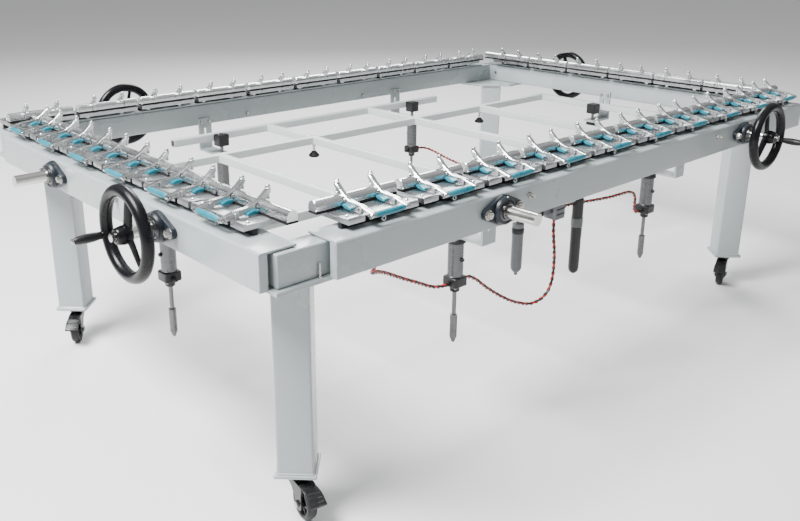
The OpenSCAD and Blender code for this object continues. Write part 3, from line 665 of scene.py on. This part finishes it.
# ---------------------------------------------------------------- bearings and handwheels
def bearing(shape, x):
    at = facing(x, 0, SHAFT_Z)
    big, small, reach = 44.0, 17.0, 65.0
    a = math.asin((big - small) / reach)
    outline = []
    for j in range(17):
        t = -(pi / 2 - a) + (pi - 2 * a) * j / 16
        outline.append((reach + small * cos(t), small * sin(t)))
    for j in range(1, 6):
        t = (pi / 2 - a) + 2 * a * j / 6
        outline.append((big * cos(t), big * sin(t)))
    for j in range(17):
        t = pi / 2 + a + (pi - 2 * a) * j / 16
        outline.append((-reach + small * cos(t), small * sin(t)))
    for j in range(1, 6):
        t = 3 * pi / 2 - a + 2 * a * j / 6
        outline.append((big * cos(t), big * sin(t)))
    shape.add(prism(outline, 0, 14, 2.0), at)
    shape.add(lathe([(41.5, 12), (41, 18), (39, 24), (36.5, 27), (31.5, 27), (30.5, 25.6), (30, 22)], 48), at)
    shape.add(lathe([(30.2, 22), (29, 25.5), (25.5, 27), (24.4, 27), (24, 28), (24, 33), (23.2, 34), (18, 34),
                     (17.6, 33), (17.6, 22)], 48), at, 3)
    shape.add(lathe([(29.4, 24.4), (27.6, 26.2), (25.2, 26.8)], 48), at, 2)
    for t in (60, 120):
        screw = at @ move(0, 0, 30.5) @ rotate(t, "Z") @ rotate(90, "Y")
        shape.add(rod(2.2, 22, 24.6, 0.4, 10), screw, 2)
    for s in (-1, 1):
        bolt = at @ move(s * reach, 0, 0)
        shape.add(tube(14.5, 5, 13.6, 16.4, 0.6, 28), bolt, 1)
        shape.add(hexagon(22, 16.2, 25.4), bolt, 1)
        shape.add(rod(5.6, 25, 26.6, 0.8, 16), bolt, 1)
    nipple = at @ move(0, 34, 20) @ rotate(-50, "X")
    shape.add(lathe([(0, 0), (4, 0), (4, 4), (2.4, 5), (2.4, 8), (3, 9), (1.6, 11), (0, 11)], 12), nipple, 1)


def handwheel(k):
    name = SIDES[k]
    at = facing(SCREW_X[k % 2], 0, SHAFT_Z) @ rotate(CRANK[k], "Z")
    wheel = Shape()
    angles = [2 * pi * j / 24 for j in range(25)]
    ring = [(WHEEL_R + RIM_RADIUS * cos(a), RIM_OUT + RIM_RADIUS * sin(a)) for a in angles]
    wheel.add(lathe(ring, 96), at)
    hub = [(11.2, 88.6), (24, 88.6), (25.6, 90.2), (25.6, 108), (24.4, 112), (22.4, 122), (21, 126.4),
           (19, 127.8), (13, 127.8), (12, 126.4), (11.2, 124)]
    wheel.add(lathe(hub, 48), at)
    for s in range(3):
        spoke = at @ rotate(120 * s, "Z")
        line = smooth([(20, 0, 95), (40, 0, 95.5), (66, 0, 97), (88, 0, 98), (104, 0, 98)], 3)
        radii = [13 - 4.2 * j / (len(line) - 1) for j in range(len(line))]
        wheel.add(sweep(line, radii, 16, 0.62), spoke)
    boss = at @ move(WHEEL_R, 0, 0)
    wheel.add(lathe([(0, 104), (12.4, 104), (12, 112), (10.4, 115.6), (0, 115.6)], 28), boss)
    wheel.add(rod(4.9, 112, 190, 0.5, 16), boss, 1)
    wheel.add(lathe([(0, 189.8), (7.6, 189.8), (8.4, 191), (8, 194), (5.4, 195.8), (0, 195.8)], 20), boss, 1)
    shaft_end = [(11.2, 124), (10.8, 127.4), (10.8, 137), (9.6, 138.8), (6, 139.8), (0, 139.8)]
    wheel.add(lathe(shaft_end, 32), at, 1)
    wheel.add(hexagon(17, 139.2, 139.9), at, 1)
    wheel.make("handwheel_cast_" + name, side_frame(k), [ENAMEL, STEEL], "screw_" + name, "black_iron", 40,
               ["handwheel_" + name])
    grip = Shape()
    profile = [(5.2, 116.4), (9.4, 116.4), (10.4, 118), (10.8, 124), (12.2, 134), (12.9, 148), (12.6, 162),
               (11.4, 176), (9.6, 184), (8.6, 187.6), (7.4, 188.8), (5.2, 188.8)]
    grip.add(lathe(profile, 32), boss)
    grip.make("crank_handle_" + name, side_frame(k), [PLASTIC], "crank_" + name, "black_plastic", 40,
              ["crank_grip_" + name])


for side_number in range(4):
    flange = Shape()
    bearing(flange, SCREW_X[side_number % 2])
    bearing(flange, ROD_X[side_number % 2])
    side_name = SIDES[side_number]
    flange.make("flange_units_" + side_name, side_frame(side_number), [IRON, STEEL, PLASTIC, INSERT],
                "carriage_" + side_name, "bearing_iron", 34, ["flange_bearings_" + side_name])
    handwheel(side_number)


# ---------------------------------------------------------------- castors
def castor(k):
    sx, sy = corner_signs(k)
    at = Matrix.Scale(MM, 4) @ move(sx * LEG_X, sy * LEG_Y, 0) @ rotate(CASTOR_TURN[k], "Z")
    fork = Shape()
    fork.add(lathe([(0, 134.6), (34, 134.6), (37, 133.4), (37, 131), (35, 129.6), (35.5, 126), (34, 122.8),
                    (27, 121.6), (27.5, 116), (26, 111), (0, 111)][::-1], 40))
    fork.add(tube(38, 33, 124.8, 129.2, 1.2, 40), mat=1)
    fork.add(prism(rounded(-29, -22.5, 56, 22.5, 14, 6), 106, 111.2, 1.2))
    for s in (-1, 1):
        cheek = [(-24, 111), (-20, 96), (2, 84), (18, 64), (19, 50)]
        cheek += [(TRAIL + 20 * cos(radians(a)), 50 + 20 * sin(radians(a))) for a in range(180, 361, 20)]
        cheek += [(58, 62), (57, 84), (60, 100), (58, 111)]
        flat = Matrix(((1, 0, 0, 0), (0, 0, -1, 0), (0, 1, 0, 0), (0, 0, 0, 1)))
        fork.add(prism(cheek, -2.4, 2.4, 0.9), move(0, s * 20, 0) @ flat)
        fork.add(lathe([(0, 0), (9, 0), (10, 1), (10, 6), (8.8, 7.2), (0, 7.2)], 6),
                 move(TRAIL, s * 21.8, 50) @ rotate(-90 * s, "X"), 1)
    pedal = smooth([(46, 0, 112), (60, 0, 109), (76, 0, 106), (92, 0, 101), (108, 0, 91), (120, 0, 83)], 3)
    w = [19 + 5 * min(1, j / 10) for j in range(len(pedal))]
    verts, faces = [], []
    for p, half in zip(pedal, w):
        rim = ((-half, -2.6), (-half - 1, -0.6), (-half, 1.6), (-half + 4, 2.6),
               (half - 4, 2.6), (half, 1.6), (half + 1, -0.6), (half, -2.6))
        verts += [(p.x, y, p.z + z) for y, z in rim]
    n = 8
    for i in range(len(pedal) - 1):
        for j in range(n):
            q = (j + 1) % n
            faces.append((i * n + j, (i + 1) * n + j, (i + 1) * n + q, i * n + q))
    faces.append(tuple(range(n)))
    faces.append(tuple(range((len(pedal) - 1) * n, len(pedal) * n))[::-1])
    fork.add((verts, faces))
    for j in range(4):
        t = pedal[-3 - 2 * j]
        fork.add(block(t.x - 1.2, -18, t.z + 2, t.x + 1.2, 18, t.z + 4, 0.5, 0.6))
    corner = CORNERS[k]
    fork.make("castor_stay_" + corner, at, [CASTOR, STEEL], "castor_swivel_" + corner, "castor_black", 34,
              ["castor_fork_" + corner])
    roll = Shape()
    axle = move(TRAIL, 0, 50) @ rotate(90, "X")
    tread = [(36, -13.5), (40, -15), (44, -14.4), (47.4, -12), (49.4, -8), (50, -3), (50, 3), (49.4, 8),
             (47.4, 12), (44, 14.4), (40, 15), (36, 13.5), (35, 9), (35, -9), (36, -13.5)]
    roll.add(lathe(tread, 56), axle)
    core = [(5.2, -16), (13, -16), (14.5, -14.5), (15.5, -8), (20, -5.5), (30, -5.5), (34, -9), (36.4, -13),
            (36.8, 0), (36.4, 13), (34, 9), (30, 5.5), (20, 5.5), (15.5, 8), (14.5, 14.5), (13, 16),
            (5.2, 16), (5.2, -16)]
    roll.add(lathe(core, 48), axle, 1)
    for j in range(6):
        rib = axle @ rotate(60 * j, "Z")
        roll.add(block(15, -1.6, -9, 34, 1.6, 9, 0.6, 0.8), rib, 1)
    roll.make("castor_tyre_" + corner, at, [TYRE, CASTOR], "castor_roll_" + corner, "castor_tyre", 34,
              ["castor_wheel_" + corner])


for corner_number in range(4):
    castor(corner_number)


# ---------------------------------------------------------------- lift columns, blocks and feet
cylinders, blocks, feet = Shape(), Shape(), Shape()
for cx, cy, turn in COLUMNS:
    at = move(cx, cy, 0) @ rotate(turn, "Z")
    cylinders.add(tube(25, 22.2, 501, 611, 0.6, 48), at)
    for z in (500.5, 610):
        cylinders.add(tube(26.2, 22.4, z, z + 3, 0.8, 48), at)
    cap = [(7.2, 612), (28, 612), (31, 614), (31, 622), (29.5, 624), (29.5, 636), (28, 639.8), (7.2, 639.8)]
    cylinders.add(lathe(cap, 40), at, 1)
    cylinders.add(prism(rounded(-28.6, -28.6, 28.6, 28.6, 7), 468, 500, 2.4), at, 1)
    cylinders.add(lathe([(7.2, 468.4), (16, 468.4), (16, 451), (14.4, 448.6), (7.2, 448.6)][::-1], 32), at, 1)
    for a in range(4):
        screw = at @ rotate(90 * a + 45, "Z") @ move(32, 0, 0)
        cylinders.add(rod(3.6, 466, 469.5, 0.6, 12), screw, 2)
    for s in (-1, 1):
        port = at @ move(s * 28.4, 0, 480) @ rotate(90 * s, "Y")
        fitting = [(0, 0), (8, 0), (8, 6), (6.6, 7), (6.6, 10.5), (7.6, 11), (7.6, 14.6),
                   (5, 15.4), (0, 15.4)]
        cylinders.add(lathe(fitting, 20), port, 1)
    elbow = at @ move(0, -24.6, 560) @ rotate(90, "X")
    cylinders.add(lathe([(0, 0), (6.8, 0), (6.8, 5), (5.4, 6), (5.4, 8.2), (0, 8.2)], 20), elbow, 1)
    blocks.add(prism(rounded(-24, -23, 24, 22.9, 3), 680, 728, 1.6), at)
    for s in (-1, 1):
        blocks.add(rod(4.2, 727.6, 729.4, 0.6, 16), at @ move(s * 12, 0, 0), 1)
for s in (-1, 1):
    for x, y in ((745, 380), (-295, 380)):
        at = move(s * x, s * y, 642)
        foot = [(0, 0), (19, 0), (22, 2.4), (22, 8), (20.6, 10.4), (17, 14), (12, 20), (9, 24), (0, 24)]
        feet.add(lathe(foot, 36), at)
        feet.add(rod(5, 22, 56, 0.6, 16), at, 1)
        feet.add(hexagon(17, 46, 53), at, 1)
cylinders.make("lift_barrels", WORLD, [BARREL, PLASTIC, STEEL], "frame", "cylinder_alloy", 34,
               ["lift_cylinders"])
blocks.make("lift_clamp_blocks", WORLD, [PLASTIC, STEEL], "lift", "black_plastic", 34, ["lift_blocks"])
feet.make("lift_stops", WORLD, [RUBBER, STEEL], "lift", "rubber", 34, ["lift_feet"])


# ---------------------------------------------------------------- air unit
air = Shape()
air.add(block(-175, -760, 618, -124, -710, 684, 2.0, 4.0))
for z in (636, 654, 670):
    air.add(block(-173, -762.5, z - 1, -126, -759, z + 1, 0.4, 0.5), mat=1)
air.add(block(-175, -798, 684, -124, -710, 692, 1.2, 3.0), mat=2)
air.add(block(-175, -798, 692, -124, -790, 788, 1.2, 3.0), mat=2)
for x in (-163, -136):
    air.add(hexagon(11, 0, 6), move(x, -790, 770) @ rotate(-90, "X"), 3)
air.add(block(-345, -745, 641, -175, -725, 660, 1.4, 5.0))
air.add(block(-124, -752, 661, -4, -732, 680, 1.4, 5.0))
for x, y, z in ((-300, -735, 650), (-230, -735, 650), (-80, -742, 670)):
    air.add(tube(13.5, 4, -4, 4, 0.8, 24), move(x, y, z) @ rotate(90, "Y"), 1)
bowl = [(0, 464), (4, 464), (6, 466), (6, 472), (12, 478), (17.4, 486), (18.4, 500), (18.4, 604), (19, 606),
        (19, 640), (0, 640)]
air.add(lathe(bowl, 36), move(-342, -735, 0))
air.add(lathe([(18.7, 608), (20, 610), (20, 626), (18.7, 628)], 36), move(-342, -735, 0), 1)
bowl = [(0, 386), (5, 386), (10, 389), (16, 396), (18.4, 408), (18.6, 520), (19, 522), (19, 660), (0, 660)]
air.add(lathe(bowl, 36), move(-24, -742, 0), 1)
air.add(lathe([(18.8, 560), (20.4, 562), (20.4, 592), (18.8, 594)], 36), move(-24, -742, 0))
nipple = [(0, 736), (7, 736), (7, 740), (9, 741), (9, 747.6), (0, 747.6)]
air.add(lathe(nipple, 6), move(-1050, -830, 0), 3)
air.make("air_supply", WORLD, [GREY, PLASTIC, PAINT, STEEL], "frame", "dark_fittings", 34, ["air_unit"])


# ---------------------------------------------------------------- floor, light and finish
def stage():
    mesh = bpy.data.meshes.new("floor")
    s = 40  # half of the floor's side, in metres
    mesh.from_pydata([(-s, -s, 0), (s, -s, 0), (s, s, 0), (-s, s, 0)], [], [(0, 1, 2, 3)])
    floor = bpy.data.objects.new("floor", mesh)
    bpy.context.scene.collection.objects.link(floor)
    pale = bpy.data.materials.new("pale_floor")
    pale.use_nodes = True
    shader = pale.node_tree.nodes["Principled BSDF"]
    shader.inputs["Base Color"].default_value = (0.68, 0.68, 0.68, 1)
    shader.inputs["Roughness"].default_value = 0.85
    shader.inputs["Specular IOR Level"].default_value = 0.15
    mesh.materials.append(pale)
    world = bpy.data.worlds.new("studio")
    bpy.context.scene.world = world
    world.use_nodes = True
    tree = world.node_tree
    background = tree.nodes["Background"]
    coords = tree.nodes.new("ShaderNodeTexCoord")
    split = tree.nodes.new("ShaderNodeSeparateXYZ")
    ramp = tree.nodes.new("ShaderNodeValToRGB")
    ramp.color_ramp.elements[0].position = 0.0
    ramp.color_ramp.elements[0].color = (0.27, 0.275, 0.28, 1)
    ramp.color_ramp.elements[1].position = 0.95
    ramp.color_ramp.elements[1].color = (1.0, 1.0, 1.0, 1)
    middle = ramp.color_ramp.elements.new(0.35)
    middle.color = (0.30, 0.305, 0.31, 1)
    tree.links.new(coords.outputs["Generated"], split.inputs["Vector"])
    tree.links.new(split.outputs["Z"], ramp.inputs["Fac"])
    tree.links.new(ramp.outputs["Color"], background.inputs["Color"])
    background.inputs["Strength"].default_value = 0.8

    def area(name, place, aim, size, power):
        light = bpy.data.lights.new(name, "AREA")
        light.shape = "RECTANGLE"
        light.size, light.size_y = size
        light.energy = power
        lamp = bpy.data.objects.new(name, light)
        bpy.context.scene.collection.objects.link(lamp)
        look = (Vector(aim) - Vector(place)).normalized()
        lamp.matrix_world = Matrix.Translation(place) @ look.to_track_quat("-Z", "Y").to_matrix().to_4x4()

    area("key", (-3.9, 0.2, 5.4), (0, 0, 0.6), (3.0, 2.4), 1500)
    area("fill", (0.5, -5.2, 2.8), (0, 0, 0.7), (4.5, 1.6), 12)
    area("rim", (3.5, 4.5, 4.8), (0, 0, 0.8), (3.6, 2.4), 520)


stage()
